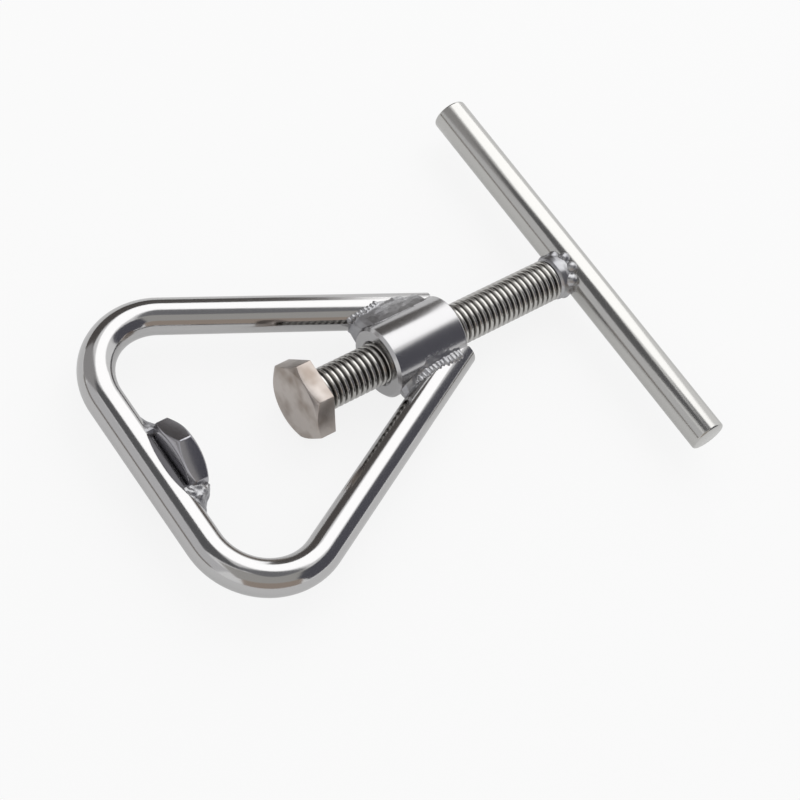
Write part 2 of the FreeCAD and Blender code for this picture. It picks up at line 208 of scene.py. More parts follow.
def new_geometry_tree(name, inputs):
    """Geometry tree with named inputs, and its graph and group input."""
    tree = bpy.data.node_groups.new(name, "GeometryNodeTree")
    tree.is_modifier = True
    tree.interface.new_socket("Geometry", in_out="INPUT", socket_type="NodeSocketGeometry")
    for label, kind, value in inputs:
        socket = tree.interface.new_socket(label, in_out="INPUT", socket_type=kind)
        if value is not None:
            socket.default_value = value
    tree.interface.new_socket("Geometry", in_out="OUTPUT", socket_type="NodeSocketGeometry")
    graph = Graph(tree)
    given = graph.node("NodeGroupInput")
    return tree, graph, given


def end_tree(graph, geometry, given):
    """Realize Instances and Set Material, then the tree's output."""
    real = graph.node("GeometryNodeRealizeInstances", None, {0: geometry})
    painted = graph.node("GeometryNodeSetMaterial", None,
                         {"Geometry": real, "Material": given.other("Material")})
    end = graph.tree.nodes.new("NodeGroupOutput")
    graph.tree.links.new(painted.socket, end.inputs[0])


def run_tree(obj, tree, values):
    """Run a tree on an object with its inputs set, and give back a plain mesh."""
    modifier = obj.modifiers.new(tree.name, "NODES")
    modifier.node_group = tree
    for item in tree.interface.items_tree:
        if item.in_out == "INPUT" and item.name in values:
            modifier[item.identifier] = values[item.name]
    return baked(obj)


def baked(obj):
    """Plain mesh of an object with its modifiers, which are then removed with it."""
    bpy.context.view_layer.update()
    depsgraph = bpy.context.evaluated_depsgraph_get()
    mesh = bpy.data.meshes.new_from_object(
        obj.evaluated_get(depsgraph), preserve_all_data_layers=True, depsgraph=depsgraph)
    bpy.data.objects.remove(obj)
    return mesh


def shown(name, mesh):
    """Object for a mesh, at the origin."""
    mesh.name = name
    obj = bpy.data.objects.new(name, mesh)
    bpy.context.scene.collection.objects.link(obj)
    return obj


def cleaned(mesh, merge=1e-6, sharp=40.0):
    """Doubles merged, normals turned outwards, smooth but for edges sharper than an angle."""
    work = bmesh.new()
    work.from_mesh(mesh)
    bmesh.ops.remove_doubles(work, verts=work.verts, dist=merge)
    bmesh.ops.dissolve_degenerate(work, edges=work.edges, dist=merge)
    bmesh.ops.recalc_face_normals(work, faces=work.faces)
    work.to_mesh(mesh)
    work.free()
    for polygon in mesh.polygons:
        polygon.use_smooth = True
    mesh.set_sharp_from_angle(angle=math.radians(sharp))
    return mesh


def turned(profile, round_count, closed=False):
    """Mesh turned about the bolt's axis from (x, radius) points, poles closed by one vertex."""
    work = bmesh.new()
    rings = []
    for x, radius in profile:
        if radius < 1e-7:
            rings.append([work.verts.new((x, 0.0, 0.0))])
            continue
        ring = []
        for i in range(round_count):
            angle = 2 * math.pi * i / round_count
            ring.append(work.verts.new((x, radius * math.cos(angle),
                                        radius * math.sin(angle))))
        rings.append(ring)
    pairs = list(zip(rings, rings[1:]))
    if closed:
        pairs.append((rings[-1], rings[0]))
    for a, b in pairs:
        for i in range(round_count):
            j = (i + 1) % round_count
            corners = [a[i % len(a)], a[j % len(a)], b[j % len(b)], b[i % len(b)]]
            unique = []
            for corner in corners:
                if corner not in unique:
                    unique.append(corner)
            if len(unique) > 2:
                work.faces.new(unique)
    bmesh.ops.recalc_face_normals(work, faces=work.faces)
    mesh = bpy.data.meshes.new("turned")
    work.to_mesh(mesh)
    work.free()
    return mesh


def rounded_corner(x, radius, size, x_side, radius_side, steps=4):
    """Points of a quarter round at a profile's corner, from the x side to the radius side."""
    points = []
    for i in range(steps + 1):
        angle = math.pi / 2 * i / steps
        points.append((x + x_side * size * (1 - math.sin(angle)),
                       radius + radius_side * size * (1 - math.cos(angle))))
    return points


def lofted(rings):
    """Closed mesh through rings that have the same number of points, with both ends capped."""
    work = bmesh.new()
    made = [[work.verts.new(point) for point in ring] for ring in rings]
    for a, b in zip(made, made[1:]):
        for i in range(len(a)):
            j = (i + 1) % len(a)
            work.faces.new((a[i], a[j], b[j], b[i]))
    work.faces.new(made[0])
    work.faces.new(made[-1])
    bmesh.ops.recalc_face_normals(work, faces=work.faces)
    mesh = bpy.data.meshes.new("lofted")
    work.to_mesh(mesh)
    work.free()
    return mesh


def skinned(mesh, voxel, smooth):
    """One closed skin round a mesh's overlapping shells."""
    obj = shown("skin", mesh)
    remesh = obj.modifiers.new("Remesh", "REMESH")
    remesh.mode = "VOXEL"
    remesh.voxel_size = voxel
    if smooth:
        soften = obj.modifiers.new("Smooth", "SMOOTH")
        soften.factor = 0.5
        soften.iterations = smooth
    return baked(obj)


def uneven(mesh, height, size):
    """Gentle lumps on a mesh, of a height and a size."""
    normals = [vertex.normal.copy() for vertex in mesh.vertices]
    for vertex, normal in zip(mesh.vertices, normals):
        vertex.co += normal * (height * lumps.noise(vertex.co / size))
    return mesh


def joined(meshes):
    """One mesh from several."""
    work = bmesh.new()
    for mesh in meshes:
        work.from_mesh(mesh)
    mesh = bpy.data.meshes.new("joined")
    work.to_mesh(mesh)
    work.free()
    return mesh


# ------------------------------------------------------------------- materials

def new_material(name):
    """Empty material with its graph, shader node and output link."""
    material = bpy.data.materials.new(name)
    material.use_nodes = True
    tree = material.node_tree
    tree.nodes.clear()
    graph = Graph(tree)
    shader = graph.node("ShaderNodeBsdfPrincipled")
    output = tree.nodes.new("ShaderNodeOutputMaterial")
    tree.links.new(shader.socket, output.inputs["Surface"])
    return material, graph, shader.socket.node


def feed(graph, shader, name, value):
    """Set or link one socket of the shader."""
    if isinstance(value, Wire):
        graph.tree.links.new(value.socket, shader.inputs[name])
    else:
        shader.inputs[name].default_value = value


def object_place(graph, stretch=(1.0, 1.0, 1.0)):
    """Object coordinates, stretched along the axes."""
    where = graph.node("ShaderNodeTexCoord", out="Object")
    return graph.node("ShaderNodeMapping", None, {"Vector": where, "Scale": stretch})


def noise(graph, place, scale, detail=3.0, rough=0.5):
    """Noise from 0 to 1."""
    return graph.node("ShaderNodeTexNoise", {"noise_dimensions": "3D"}, {
        "Vector": place, "Scale": scale, "Detail": detail, "Roughness": rough})


# Mask for the painted shade in the thread's grooves: 0 at the root, 1 near the crest
def ridge_height(graph, root, crest):
    """From 0 in the grooves to 1 on the ridges, by the distance from the bolt's axis."""
    place = graph.node("ShaderNodeSeparateXYZ", None, {
        0: graph.node("ShaderNodeTexCoord", out="Object")})
    across, up = place.other("Y"), place.other("Z") - AXIS_Z
    far = (across * across + up * up).fold("SQRT")
    return ((far - root) / (crest - root)).most(0.0).least(1.0)


def steel(name, colour, rough, spread, grain_size, grain=(1.0, 1.0, 1.0), dent=0.0,
          dent_size=0.02 * MM, stain=None, stain_size=60.0, groove_shade=None):
    """Bare steel: roughness that varies a little, with a fine grain along a direction.

    A stain is a second colour in patches; the last argument paints shade into a thread's
    grooves: its colour, and the root and crest radius between which the shade fades.
    """
    material, graph, shader = new_material(name)
    fine = noise(graph, object_place(graph, grain), grain_size, 4.0, 0.6)
    broad = noise(graph, object_place(graph), stain_size, 2.0)
    feed(graph, shader, "Metallic", 1.0)
    feed(graph, shader, "Roughness", (rough - spread) + fine * spread + broad * spread)
    base = (*colour, 1.0)
    if stain:
        mixed = graph.node("ShaderNodeMix", {"data_type": "RGBA"}, {
            0: (broad - STAIN_START) * STAIN_SLOPE, 6: base, 7: (*stain, 1.0)}, out=2)
        mixed.socket.node.clamp_factor = True
        feed(graph, shader, "Base Color", mixed)
    elif groove_shade:
        # Painted shade: the colour darkens towards the thread's root, by the distance from the
        # axis
        painted_shade_colour, root, crest = groove_shade
        feed(graph, shader, "Base Color", graph.node("ShaderNodeMix", {"data_type": "RGBA"}, {
            0: ridge_height(graph, root, crest), 6: (*painted_shade_colour, 1.0), 7: base}, out=2))
    else:
        feed(graph, shader, "Base Color", base)
    if dent:
        bump = graph.node("ShaderNodeBump", None, {
            "Height": fine, "Strength": dent, "Distance": dent_size})
        feed(graph, shader, "Normal", bump)
    return material


# ------------------------------------------------------------------ properties

class PressSizes(bpy.types.PropertyGroup):
    """Sizes of the press's visible pieces."""
    corner_half_width: FloatProperty(
        name="Corner half width", description="From the bolt's axis to the corner of the base",
        default=0.052, min=0.03, max=0.08, unit="LENGTH", subtype="DISTANCE")
    apex_distance: FloatProperty(
        name="Apex distance", description="From the base's centreline to where the legs meet",
        default=0.109, min=0.08, max=0.15, unit="LENGTH", subtype="DISTANCE")
    bend_radius: FloatProperty(
        name="Bend radius", description="Radius of the rod's two bends at its centreline",
        default=0.018, min=0.008, max=0.03, unit="LENGTH", subtype="DISTANCE")
    leg_end_distance: FloatProperty(
        name="Leg end", description="From the base's centreline to the cut ends of the legs",
        default=0.0934, min=0.08, max=0.11, unit="LENGTH", subtype="DISTANCE")
    thread_pitch: FloatProperty(
        name="Thread pitch", description="Distance from one ridge of the thread to the next",
        default=0.00175, min=0.0005, max=0.003, unit="LENGTH", subtype="DISTANCE")
    thread_depth: FloatProperty(
        name="Thread depth", description="Depth of the thread's grooves",
        default=0.00107, min=0.0002, max=0.002, unit="LENGTH", subtype="DISTANCE")
    weld_ripple: FloatProperty(
        name="Weld ripple", description="Distance from one ripple of a weld to the next",
        default=0.0012, min=0.0005, max=0.003, unit="LENGTH", subtype="DISTANCE")
    weld_seed: IntProperty(
        name="Weld seed", description="Seed for the unevenness of the welds", default=7, min=0)


class PressFinish(bpy.types.PropertyGroup):
    """Colours and polish of the metals."""
    rod_colour: FloatVectorProperty(
        name="Rod", description="Colour of the polished rod", subtype="COLOR",
        default=(0.52, 0.515, 0.515), min=0.0, max=1.0)
    rod_roughness: FloatProperty(
        name="Rod roughness", description="How matt the polished rod is",
        default=0.13, min=0.0, max=1.0, subtype="FACTOR")
    sleeve_colour: FloatVectorProperty(
        name="Sleeve", description="Colour of the turned sleeve", subtype="COLOR",
        default=(0.5, 0.495, 0.5), min=0.0, max=1.0)
    jaw_colour: FloatVectorProperty(
        name="Fixed jaw", description="Colour of the fixed jaw", subtype="COLOR",
        default=(0.4, 0.395, 0.42), min=0.0, max=1.0)
    weld_colour: FloatVectorProperty(
        name="Weld", description="Colour of the weld metal", subtype="COLOR",
        default=(0.47, 0.47, 0.48), min=0.0, max=1.0)
    thread_colour: FloatVectorProperty(
        name="Thread", description="Colour of the bolt's thread", subtype="COLOR",
        default=(0.56, 0.55, 0.53), min=0.0, max=1.0)
    head_colour: FloatVectorProperty(
        name="Bolt head", description="Colour of the bolt's head", subtype="COLOR",
        default=(0.5, 0.455, 0.425), min=0.0, max=1.0)
    bar_colour: FloatVectorProperty(
        name="Cross bar", description="Colour of the cross bar", subtype="COLOR",
        default=(0.52, 0.515, 0.5), min=0.0, max=1.0)


class PressStage(bpy.types.PropertyGroup):
    """Camera, floor and light."""
    camera_lens: FloatProperty(
        name="Lens", description="Focal length on a 36 mm sensor, in millimetres",
        default=94.906, min=20.0, max=300.0)
    camera_place: FloatVectorProperty(
        name="Camera place", description="Where the camera stands", subtype="TRANSLATION",
        unit="LENGTH", default=(-0.26135, -0.1902, 0.4771))
    camera_turn: FloatVectorProperty(
        name="Camera turn", description="The camera's turn about X, Y and Z", subtype="EULER",
        unit="ROTATION", default=tuple(math.radians(a) for a in (31.784, -13.097, -35.611)))
    world_strength: FloatProperty(
        name="Room light", description="Strength of the light from all round",
        default=0.75, min=0.0, max=5.0)
    lamp_strength: FloatProperty(
        name="Lamp light", description="Strength of the soft lamps", default=1.0,
        min=0.0, max=10.0)


# ------------------------------------------------------------------- operators

def rod_tree():
    """Round rod along a bent path."""
    tree, graph, given = new_geometry_tree("rod_along_path", [
        ("Radius", "NodeSocketFloat", 0.005), ("Bend", "NodeSocketFloat", 0.018),
        ("Bend steps", "NodeSocketInt", 32), ("Sides", "NodeSocketInt", 72),
        ("Material", "NodeSocketMaterial", None)])
    bent = graph.node("GeometryNodeFilletCurve", {"mode": "POLY"}, {
        "Curve": given, "Radius": given.other("Bend"), "Count": given.other("Bend steps")})
    ring = graph.node("GeometryNodeCurvePrimitiveCircle", {"mode": "RADIUS"}, {
        "Resolution": given.other("Sides"), "Radius": given.other("Radius")})
    rod = graph.node("GeometryNodeCurveToMesh", None, {
        "Curve": bent, "Profile Curve": ring, "Fill Caps": True})
    end_tree(graph, rod, given)
    return tree


def path_object(name, points):
    """Straight-edged curve through points."""
    curve = bpy.data.curves.new(name, "CURVE")
    curve.dimensions = "3D"
    spline = curve.splines.new("POLY")
    spline.points.add(len(points) - 1)
    for point, place in zip(spline.points, points):
        point.co = (*place, 1.0)
    obj = bpy.data.objects.new(name, curve)
    bpy.context.scene.collection.objects.link(obj)
    return obj


class PRESS_OT_frame_rod(bpy.types.Operator):
    """Make the frame's bent rod with its leg ends hollowed to fit the sleeve"""
    bl_idname = "press.frame_rod"
    bl_label = "Frame rod"

    def execute(self, context):
        sizes = context.scene.press_sizes
        finish = context.scene.press_finish
        material = steel("polished rod", finish.rod_colour, rough=finish.rod_roughness,
                         spread=0.03, grain_size=700.0)
        side = ((sizes.apex_distance - sizes.leg_end_distance)
                * sizes.corner_half_width / sizes.apex_distance)
        end_x = BASE_X + sizes.leg_end_distance
        path = path_object("rod_path", [
            (end_x, side, AXIS_Z), (BASE_X, sizes.corner_half_width, AXIS_Z),
            (BASE_X, -sizes.corner_half_width, AXIS_Z), (end_x, -side, AXIS_Z)])
        mesh = run_tree(path, rod_tree(), {
            "Radius": ROD_RADIUS, "Bend": sizes.bend_radius, "Material": material})
        rod = shown("frame_rod_polished", cleaned(mesh))
        low, high = SLEEVE_LOW.x - COPE_OVERHANG, SLEEVE_HIGH.x + COPE_OVERHANG
        cutter_mesh = turned([(low, 0.0), (low, SLEEVE_RADIUS), (high, SLEEVE_RADIUS),
                              (high, 0.0)], 96)
        cutter_mesh.transform(Matrix.Translation((0, 0, AXIS_Z)))
        cutter = shown("sleeve_space", cutter_mesh)
        cope = rod.modifiers.new("Cope", "BOOLEAN")
        cope.operation = "DIFFERENCE"
        cope.solver = "EXACT"
        cope.object = cutter
        mesh = cleaned(baked(rod), 2e-6, 35.0)
        bpy.data.objects.remove(cutter)
        mesh.materials.clear()
        mesh.materials.append(material)
        rod = shown("frame_rod_polished", mesh)
        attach(rod, "frame")
        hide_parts("frame_rod")
        return {"FINISHED"}


class PRESS_OT_sleeve(bpy.types.Operator):
    """Make the turned sleeve that guides the bolt"""
    bl_idname = "press.sleeve"
    bl_label = "Sleeve"

    def execute(self, context):
        finish = context.scene.press_finish
        material = steel("turned sleeve", finish.sleeve_colour, rough=0.2, spread=0.05,
                         grain=(12.0, 1.0, 1.0), grain_size=260.0, dent=0.12)
        low, high = SLEEVE_LOW.x, SLEEVE_HIGH.x
        bore = THREAD_RADIUS + BORE_CLEARANCE
        profile = [(low + BORE_CHAMFER, bore), (low, bore + BORE_CHAMFER),
                   (low, SLEEVE_RADIUS - SLEEVE_FRONT_CHAMFER),
                   (low + SLEEVE_FRONT_CHAMFER, SLEEVE_RADIUS)]
        profile += rounded_corner(high, SLEEVE_RADIUS, SLEEVE_BACK_ROUND, -1, -1)
        profile += [(high, bore + BORE_CHAMFER), (high - BORE_CHAMFER, bore)]
        mesh = turned(profile, 128, closed=True)
        mesh.transform(Matrix.Translation((0, 0, AXIS_Z)))
        mesh.materials.append(material)
        sleeve = shown("sleeve_turned", cleaned(mesh, sharp=24.0))
        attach(sleeve, "frame")
        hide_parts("sleeve")
        return {"FINISHED"}


def hexagon(name, flats, turn, faces, rims, rim_share, soften):
    """Hexagon about the bolt's axis between two x places, bevelled outside a rim at an end."""
    rim = flats / 2 * rim_share

    def side_distance(angle):
        """Distance from the axis to the hexagon's side."""
        local = (math.degrees(angle) - turn) % 60.0 - 30.0
        return flats / 2 / math.cos(math.radians(local))

    def ring(radius, x, inward):
        """Ring at a radius, or round the hexagon where there is none, with its bevel's fall."""
        points = []
        for i in range(HEXAGON_POINTS):
            angle = math.radians(turn) + 2 * math.pi * i / HEXAGON_POINTS
            r = radius or side_distance(angle)
            fall = max(0.0, r - rim) * math.tan(RIM_SLOPE) * inward
            points.append(Vector((x + fall, r * math.cos(angle),
                                  AXIS_Z + r * math.sin(angle))))
        return points

    front, back = faces
    obj = shown(name, lofted([
        ring(rim, front, 0), ring(None, front, 1 if rims[0] else 0),
        ring(None, back, -1 if rims[1] else 0), ring(rim, back, 0)]))
    bevel = obj.modifiers.new("Bevel", "BEVEL")
    bevel.width = soften
    bevel.segments = 2
    bevel.limit_method = "ANGLE"
    bevel.angle_limit = math.radians(24.0)
    return cleaned(baked(obj), 1e-7, 40.0)


class PRESS_OT_fixed_jaw(bpy.types.Operator):
    """Make the solid hexagon on the base that is the fixed jaw"""
    bl_idname = "press.fixed_jaw"
    bl_label = "Fixed jaw"

    def execute(self, context):
        finish = context.scene.press_finish
        material = steel("satin jaw", finish.jaw_colour, rough=0.24, spread=0.06,
                         grain_size=500.0, dent=0.1)
        mesh = hexagon("jaw_satin", JAW_FLATS, JAW_TURN, (JAW_LOW.x, JAW_HIGH.x),
                       (True, True), JAW_RIM_SHARE, JAW_SOFTENING)
        mesh.materials.append(material)
        jaw = shown("jaw_satin", mesh)
        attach(jaw, "frame")
        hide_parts("jaw_nut")
        return {"FINISHED"}


def thread_tree():
    """Right-hand thread round the bolt's axis, from a grid whose rows follow the helix."""
    tree, graph, given = new_geometry_tree("bolt_thread", [
        ("Start", "NodeSocketFloat", 0.0), ("Length", "NodeSocketFloat", 0.08),
        ("Radius", "NodeSocketFloat", 0.006), ("Depth", "NodeSocketFloat", 0.001),
        ("Pitch", "NodeSocketFloat", 0.00175), ("Turns", "NodeSocketInt", 53),
        ("Rows each turn", "NodeSocketInt", 12), ("Round", "NodeSocketInt", 56),
        ("Axis height", "NodeSocketFloat", 0.0113),
        ("Material", "NodeSocketMaterial", None)])
    turns, pitch = given.other("Turns"), given.other("Pitch")
    grid = graph.node("GeometryNodeMeshGrid", None, {
        "Size X": 1.0, "Size Y": 1.0,
        "Vertices X": turns * given.other("Rows each turn") + 1.0,
        "Vertices Y": given.other("Round") + 1.0})
    where = graph.node("ShaderNodeSeparateXYZ", None, {
        0: graph.node("GeometryNodeInputPosition")})
    along = (where + 0.5) * turns
    around = where.other("Y") + 0.5
    raw = (along + around - float(SPARE_TURNS)) * pitch
    length = given.other("Length")
    x = raw.most(0.0).least(length)
    beyond = (raw * -1.0).most(raw - length).most(0.0)
    slope = (along.fold("FRACT") * 2.0 - 1.0).fold("ABSOLUTE")
    ridge = ((slope - GROOVE_FLAT) / FLANK).most(0.0).least(1.0)
    ridge = ridge * ridge * (3.0 - ridge * 2.0) * 0.5 + ridge * 0.5
    radius = given.other("Radius") - given.other("Depth") * (1.0 - ridge)
    core = given.other("Radius") - given.other("Depth") * CORE_DEPTH
    radius = radius.least(core + x * START_SLOPE).least(core + (length - x) * END_SLOPE)
    radius = radius * (1.0 - beyond / (pitch * END_CLOSING)).most(0.0)
    angle = around * (2 * math.pi)
    place = graph.node("ShaderNodeCombineXYZ", None, {
        "X": x + given.other("Start"), "Y": radius * angle.fold("COSINE"),
        "Z": radius * angle.fold("SINE") + given.other("Axis height")})
    moved = graph.node("GeometryNodeSetPosition", None, {"Geometry": grid, "Position": place})
    merged = graph.node("GeometryNodeMergeByDistance", None, {
        "Geometry": moved, "Distance": 2e-6})
    end_tree(graph, merged, given)
    return tree


class PRESS_OT_bolt(bpy.types.Operator):
    """Make the bolt: its threaded shank and its hexagon head"""
    bl_idname = "press.bolt"
    bl_label = "Bolt"

    def execute(self, context):
        sizes = context.scene.press_sizes
        finish = context.scene.press_finish
        # The thread gets painted shade in its grooves, darker towards the root
        material = steel("rolled thread", finish.thread_colour, rough=0.2, spread=0.06,
                         grain_size=400.0, groove_shade=(
                             GROOVE_PAINTED_SHADE, THREAD_RADIUS - sizes.thread_depth,
                             THREAD_RADIUS - RIDGE_TOP * sizes.thread_depth))
        length = SHANK_HIGH.x - SHANK_LOW.x
        host = shown("thread_host", bpy.data.meshes.new("thread_host"))
        mesh = run_tree(host, thread_tree(), {
            "Start": SHANK_LOW.x, "Length": length, "Radius": THREAD_RADIUS - THREAD_INSET,
            "Depth": sizes.thread_depth, "Pitch": sizes.thread_pitch,
            "Turns": math.ceil(length / sizes.thread_pitch) + 2 * SPARE_TURNS,
            "Axis height": AXIS_Z, "Material": material})
        thread = shown("bolt_thread", cleaned(mesh, 2e-6, 60.0))
        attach(thread, "screw")
        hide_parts("bolt_shank")

        material = steel("brushed head", finish.head_colour, rough=0.3, spread=0.08,
                         grain=(1.0, 14.0, 1.0), grain_size=160.0, dent=0.25,
                         stain=(0.27, 0.22, 0.185), stain_size=150.0)
        mesh = hexagon("bolt_head_brushed", HEAD_FLATS, HEAD_TURN, (HEAD_LOW.x, HEAD_HIGH.x),
                       (True, False), HEAD_RIM_SHARE, HEAD_SOFTENING)
        mesh.materials.append(material)
        head = shown("bolt_head_brushed", mesh)
        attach(head, "handle")
        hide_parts("bolt_head")
        return {"FINISHED"}


class PRESS_OT_cross_bar(bpy.types.Operator):
    """Make the cross bar and the weld that holds it on the bolt"""
    bl_idname = "press.cross_bar"
    bl_label = "Cross bar"

    def execute(self, context):
        finish = context.scene.press_finish
        material = steel("polished bar", finish.bar_colour, rough=0.17, spread=0.05,
                         grain_size=600.0)
        low, high = BAR_LOW.y, BAR_HIGH.y
        profile = [(low, 0.0)]
        profile += rounded_corner(low, BAR_RADIUS, BAR_END_ROUND, 1, -1)[::-1]
        profile += rounded_corner(high, BAR_RADIUS, BAR_END_ROUND, -1, -1)
        profile.append((high, 0.0))
        mesh = turned(profile, 96)
        mesh.transform(Matrix.Translation((BAR_X, 0, AXIS_Z))
                       @ Matrix.Rotation(math.pi / 2, 4, "Z"))
        mesh.materials.append(material)
        bar = shown("cross_bar_polished", cleaned(mesh, sharp=32.0))
        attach(bar, "handle")
        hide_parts("cross_bar")

        weld = weld_steel(finish)
        sizes = context.scene.press_sizes
        core = turned([(COLLAR_START + x * MM, radius * MM) for x, radius in COLLAR], 72)
        core.transform(Matrix.Translation((0, 0, AXIS_Z)))
        saddle = []
        for i in range(SADDLE_STEPS + 1):
            angle = 2 * math.pi * i / SADDLE_STEPS
            saddle.append(Vector((
                BAR_X - SADDLE_STAND - SADDLE_DIP * math.cos(angle) ** 2,
                SADDLE_RADIUS * math.cos(angle), AXIS_Z + SADDLE_RADIUS * math.sin(angle))))
        bead = ripples("bar_bead", saddle, LOBE, weld, sizes, LOBE_SPREAD)
        mesh = uneven(skinned(joined([core, bead]), BAR_WELD_VOXEL, 2), *BAR_WELD_LUMPS)
        mesh.materials.clear()
        mesh.materials.append(weld)
        dome = shown("bar_weld_rippled", cleaned(mesh, sharp=180.0))
        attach(dome, "handle")
        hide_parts("bar_weld")
        return {"FINISHED"}


def weld_steel(finish):
    """The weld metal, made once."""
    return (bpy.data.materials.get("weld metal")
            or steel("weld metal", finish.weld_colour, rough=0.34, spread=0.1,
                     grain_size=350.0, dent=0.3, dent_size=0.1 * MM, stain=(0.27, 0.27, 0.3)))


def ripple_tree():
    """Row of overlapping flat drops along a path, as a weld bead cools."""
    tree, graph, given = new_geometry_tree("weld_ripples", [
        ("Spacing", "NodeSocketFloat", 0.0011), ("Drop", "NodeSocketVector", None),
        ("Seed", "NodeSocketInt", 7), ("Material", "NodeSocketMaterial", None)])
    spots = graph.node("GeometryNodeCurveToPoints", {"mode": "LENGTH"}, {
        "Curve": given, "Length": given.other("Spacing")})
    drop = graph.node("GeometryNodeMeshIcoSphere", None, {"Radius": 1.0, "Subdivisions": 3})
    varied = graph.node("FunctionNodeRandomValue", {"data_type": "FLOAT"}, {
        2: 0.88, 3: 1.12, "Seed": given.other("Seed")}, out=1)
    size = graph.node("ShaderNodeVectorMath", {"operation": "SCALE"}, {
        0: given.other("Drop"), "Scale": varied})
    tilt = graph.node("FunctionNodeAlignRotationToVector", {"axis": "X"}, {
        "Vector": spots.other("Tangent")})
    drops = graph.node("GeometryNodeInstanceOnPoints", None, {
        "Points": spots, "Instance": drop, "Rotation": tilt, "Scale": size})
    end_tree(graph, drops, given)
    return tree


def ripples(name, points, drop, material, sizes, spread=1.0):
    """Rippled bead along points."""
    tree = bpy.data.node_groups.get("weld_ripples") or ripple_tree()
    return run_tree(path_object(name, points), tree, {
        "Spacing": sizes.weld_ripple * spread, "Drop": drop, "Seed": sizes.weld_seed,
        "Material": material})


def at(x, y, z):
    """Point from millimetres: x from the base's centreline, y across, z over the bolt's axis."""
    return Vector((BASE_X + x * MM, y * MM, AXIS_Z + z * MM))


def filler(side, rows):
    """Smooth weld metal through rows: each an x and its (y, z) outline above the middle."""
    rings = []
    for x, outline in rows:
        ring = [(outline[0][0], 0.0), *outline, (outline[-1][0], 0.0)]
        ring += [(y, -z) for y, z in reversed(outline)]
        rings.append([at(x, side * y, z) for y, z in ring])
    return lofted(rings)


# Outlines across the frame of the wide upper weld and of the narrow lower one
UPPER_FILL = (
    (70.6, ((11.3, 1.6), (11.9, 1.7), (12.5, 1.7), (13.1, 1.6), (13.6, 1.2))),
    (71.2, ((9.4, 3.6), (10.6, 3.3), (11.8, 3.0), (13.0, 2.7), (14.2, 2.3))),
    (72.2, ((8.4, 5.4), (9.8, 4.8), (11.3, 4.3), (12.8, 3.7), (14.2, 3.2))),
    (73.6, ((7.8, 6.6), (9.4, 5.8), (11.0, 5.1), (12.6, 4.5), (14.2, 4.0))),
    (75.8, ((7.4, 7.1), (9.1, 6.3), (10.8, 5.6), (12.5, 5.0), (14.1, 4.6))),
    (78.5, ((7.3, 7.25), (9.0, 6.5), (10.8, 5.9), (12.6, 5.4), (14.3, 5.0))),
    (84.0, ((7.3, 7.25), (8.9, 6.5), (10.5, 5.9), (12.1, 5.35), (13.6, 4.8))),
    (91.0, ((7.3, 7.2), (8.4, 6.6), (9.5, 5.95), (10.6, 5.2), (11.6, 4.25))),
)
LOWER_FILL = (
    (71.3, ((9.6, 0.7), (10.4, 0.7), (11.2, 0.7), (12.0, 0.6), (12.9, 0.4))),
    (72.6, ((9.2, 2.6), (10.2, 2.2), (11.2, 1.9), (12.1, 1.5), (13.0, 1.0))),
    (74.5, ((8.6, 4.7), (9.6, 3.5), (10.4, 2.8), (11.2, 2.3), (12.2, 1.8))),
    (76.5, ((8.0, 6.1), (9.0, 4.6), (9.7, 3.6), (10.5, 3.0), (11.3, 2.6))),
    (79.0, ((7.5, 6.95), (8.6, 5.6), (9.4, 4.6), (10.2, 4.0), (11.0, 3.9))),
    (82.0, ((7.3, 7.2), (8.4, 6.0), (9.2, 5.2), (10.0, 4.8), (10.8, 4.7))),
    (86.0, ((7.3, 7.25), (8.3, 6.1), (9.1, 5.4), (9.9, 5.1), (10.7, 4.98))),
    (91.0, ((7.3, 7.2), (8.0, 6.2), (8.6, 5.6), (9.2, 5.2), (9.8, 4.95))),
)
# Middle lines of the rippled beads
UPPER_BEAD = ((70.5, 13.9, 2.4), (71.2, 13.9, 2.95), (72.4, 13.8, 3.5), (74.2, 13.7, 4.0),
              (76.0, 13.6, 4.3), (77.6, 13.7, 4.45), (78.6, 13.9, 4.45))
LOWER_BEAD = ((75.4, 11.2, 1.2), (76.8, 10.8, 2.9), (79.0, 10.4, 3.8), (81.5, 10.2, 4.25),
              (84.0, 10.2, 4.5), (87.0, 10.2, 4.65), (90.2, 10.1, 4.65))
# Jaw welds: places across the frame, how far they stand out along x, and half their height
UPPER_JAW_WELD = ((7.4, 4.7, 3.0), (8.3, 6.2, 4.0), (9.2, 9.3, 4.5), (9.9, 9.0, 4.4),
                  (10.6, 8.0, 4.2), (11.6, 7.0, 3.9), (13.0, 6.1, 3.3), (14.6, 5.5, 2.5),
                  (16.2, 5.1, 1.4))
LOWER_JAW_WELD = ((7.4, 4.7, 3.0), (8.3, 6.4, 4.0), (9.2, 9.9, 4.5), (10.2, 10.2, 4.6),
                  (11.4, 9.6, 4.5), (12.6, 8.4, 4.2), (13.8, 7.0, 3.4), (15.2, 6.1, 2.6),
                  (16.8, 5.2, 1.3))
# Each leg's welds: side, name, fill, bead, the bead's half width, the height of the lumps at
# the sleeve, the jaw's weld and the height of its lumps
WELDS = (
    (1, "upper", UPPER_FILL, UPPER_BEAD, 1.2 * MM, 0.04 * MM, UPPER_JAW_WELD, 0.12 * MM),
    (-1, "lower", LOWER_FILL, LOWER_BEAD, 1.7 * MM, 0.1 * MM, LOWER_JAW_WELD, 0.4 * MM),
)
# Points that the bead on the hidden face starts later
HIDDEN_BEAD_START = 2


def jaw_fillet(side, rows):
    """Weld metal from the jaw's side down to the rod."""
    rings = []
    for y, top, high in rows:
        ring = []
        for i in range(JAW_WELD_POINTS):
            angle = 2 * math.pi * i / JAW_WELD_POINTS
            reach = top - JAW_WELD_HEEL if math.cos(angle) > 0 else JAW_WELD_BACK
            ring.append(at(JAW_WELD_HEEL + reach * math.cos(angle), side * y,
                           high * math.sin(angle)))
        rings.append(ring)
    return lofted(rings)


